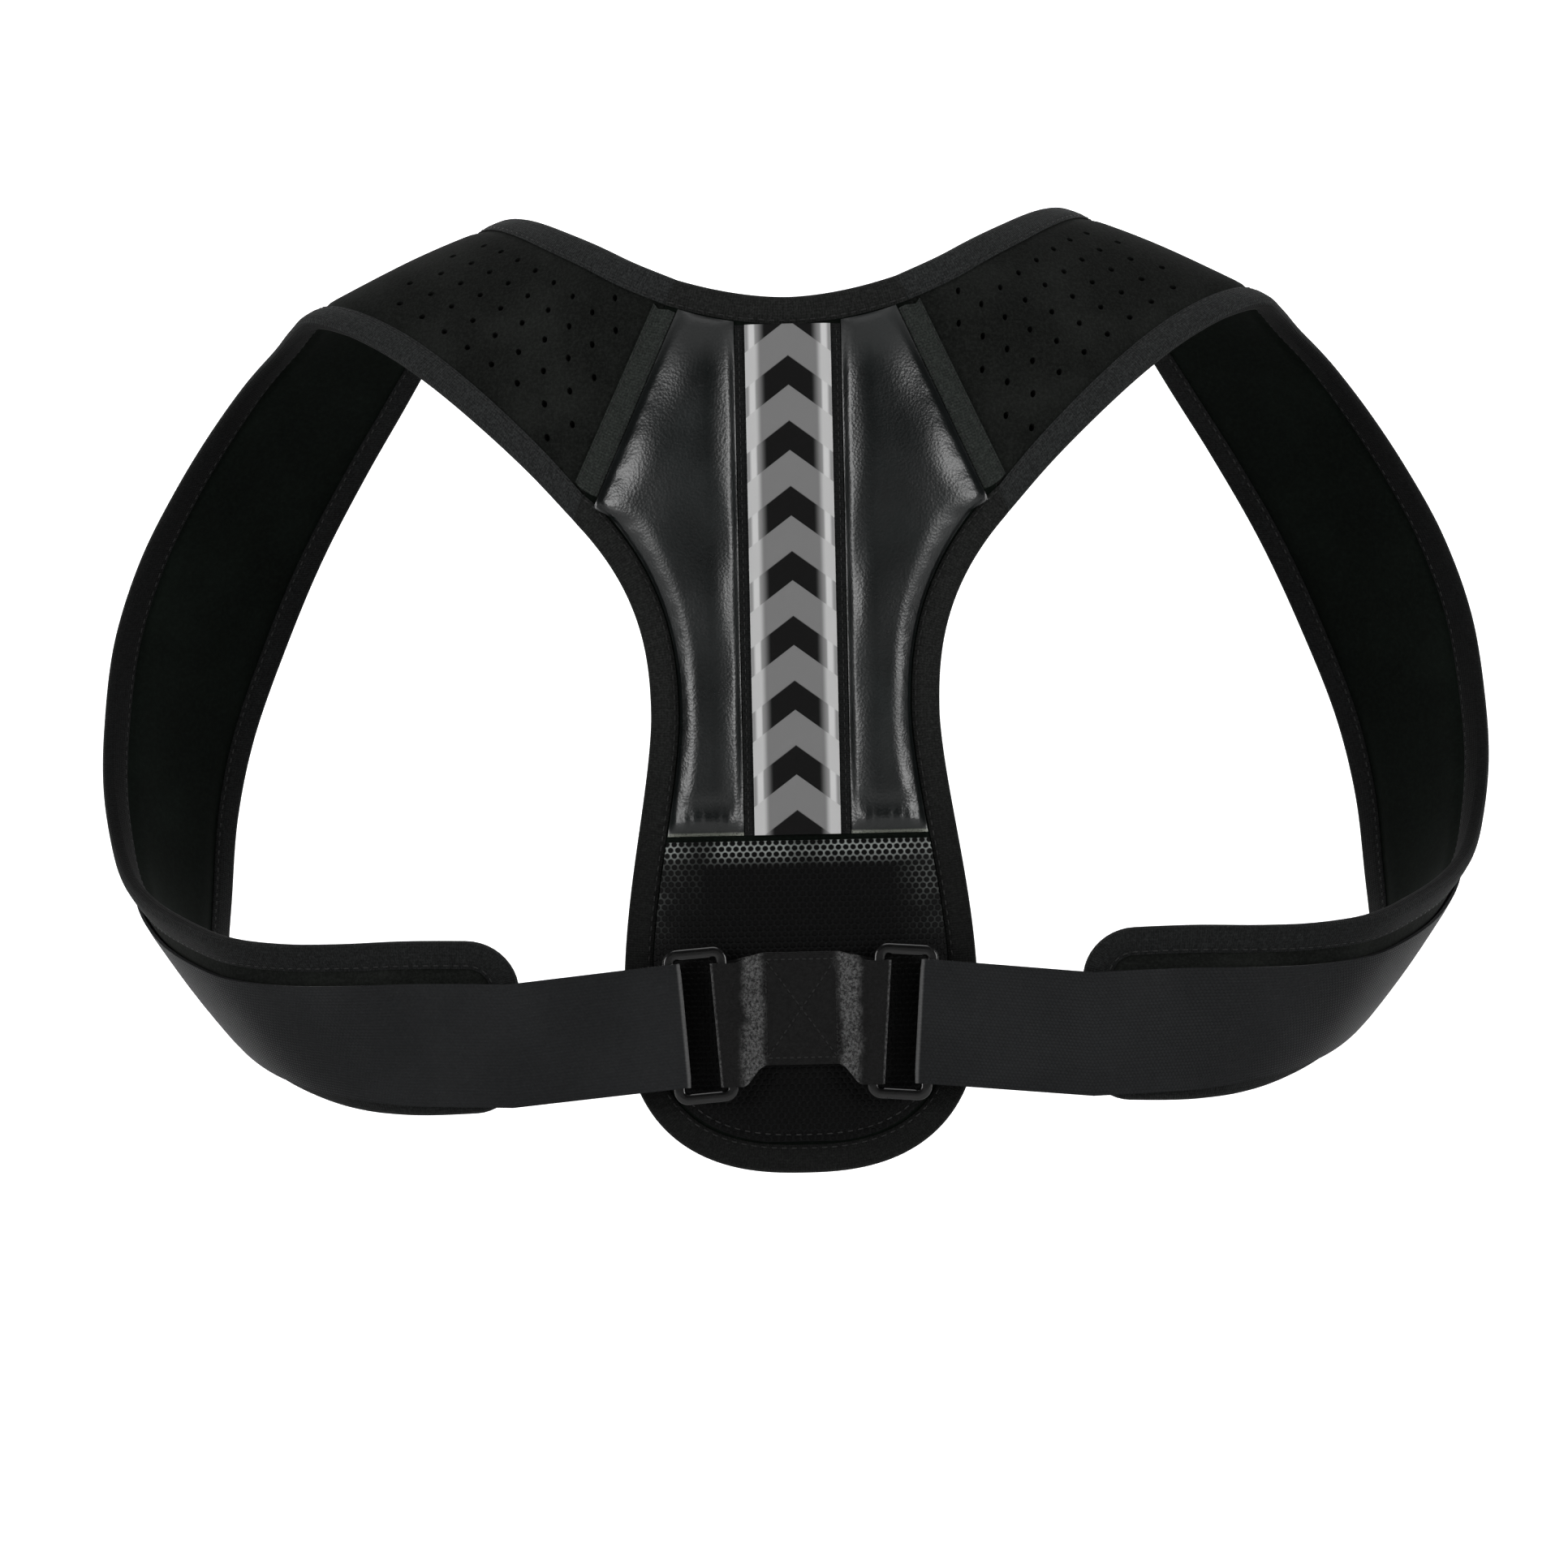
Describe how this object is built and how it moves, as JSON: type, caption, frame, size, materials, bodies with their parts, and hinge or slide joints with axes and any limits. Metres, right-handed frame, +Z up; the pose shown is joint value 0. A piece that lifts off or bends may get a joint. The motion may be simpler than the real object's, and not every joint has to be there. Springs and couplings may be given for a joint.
{
  "type": "posture corrector",
  "caption": "Padded posture corrector with a leather-faced back panel, perforated shoulder straps, a reflective chevron strip and adjusting webbing run through rings.",
  "frame": {"origin": "on the face of the back panel that lies on the wearer's back, on the centre line, at the panel's waist", "axes": "+X across the back towards the wearer's right shoulder strap as seen from behind, +Y from the outer face towards the wearer's chest, +Z up"},
  "size_m": [0.4432, 0.1544, 0.2995],
  "materials": {
    "neoprene": "matte knit-faced foam rubber, perforated on the wings",
    "lining": "smooth dark knit",
    "leather": "pebbled, slightly glossy",
    "mesh": "open spacer mesh",
    "binding": "ribbed edge tape with one stitch line",
    "ribbon": "matte woven ribbon",
    "webbing": "plain woven webbing",
    "ring": "glossy black",
    "tape": "silver reflective film printed with chevrons"
  },
  "bodies": {
    "root": {"back_panel": "lining", "mesh_panel": "mesh", "tape_backing": "ribbon", "reflective_tape": "tape", "neckline_binding": "binding", "panel_binding": "binding", "centre_tab": "webbing", "leather_left": "leather", "leather_right": "leather", "seam_ribbon_left": "ribbon", "seam_ribbon_right": "ribbon", "shoulder_strap_left": "neoprene", "shoulder_strap_right": "neoprene", "strap_lining_left": "lining", "strap_lining_right": "lining", "strap_binding_left": "binding", "strap_binding_right": "binding", "webbing_left": "webbing", "webbing_right": "webbing", "ring_left": "ring", "ring_right": "ring"}
  },
  "joints": []
}
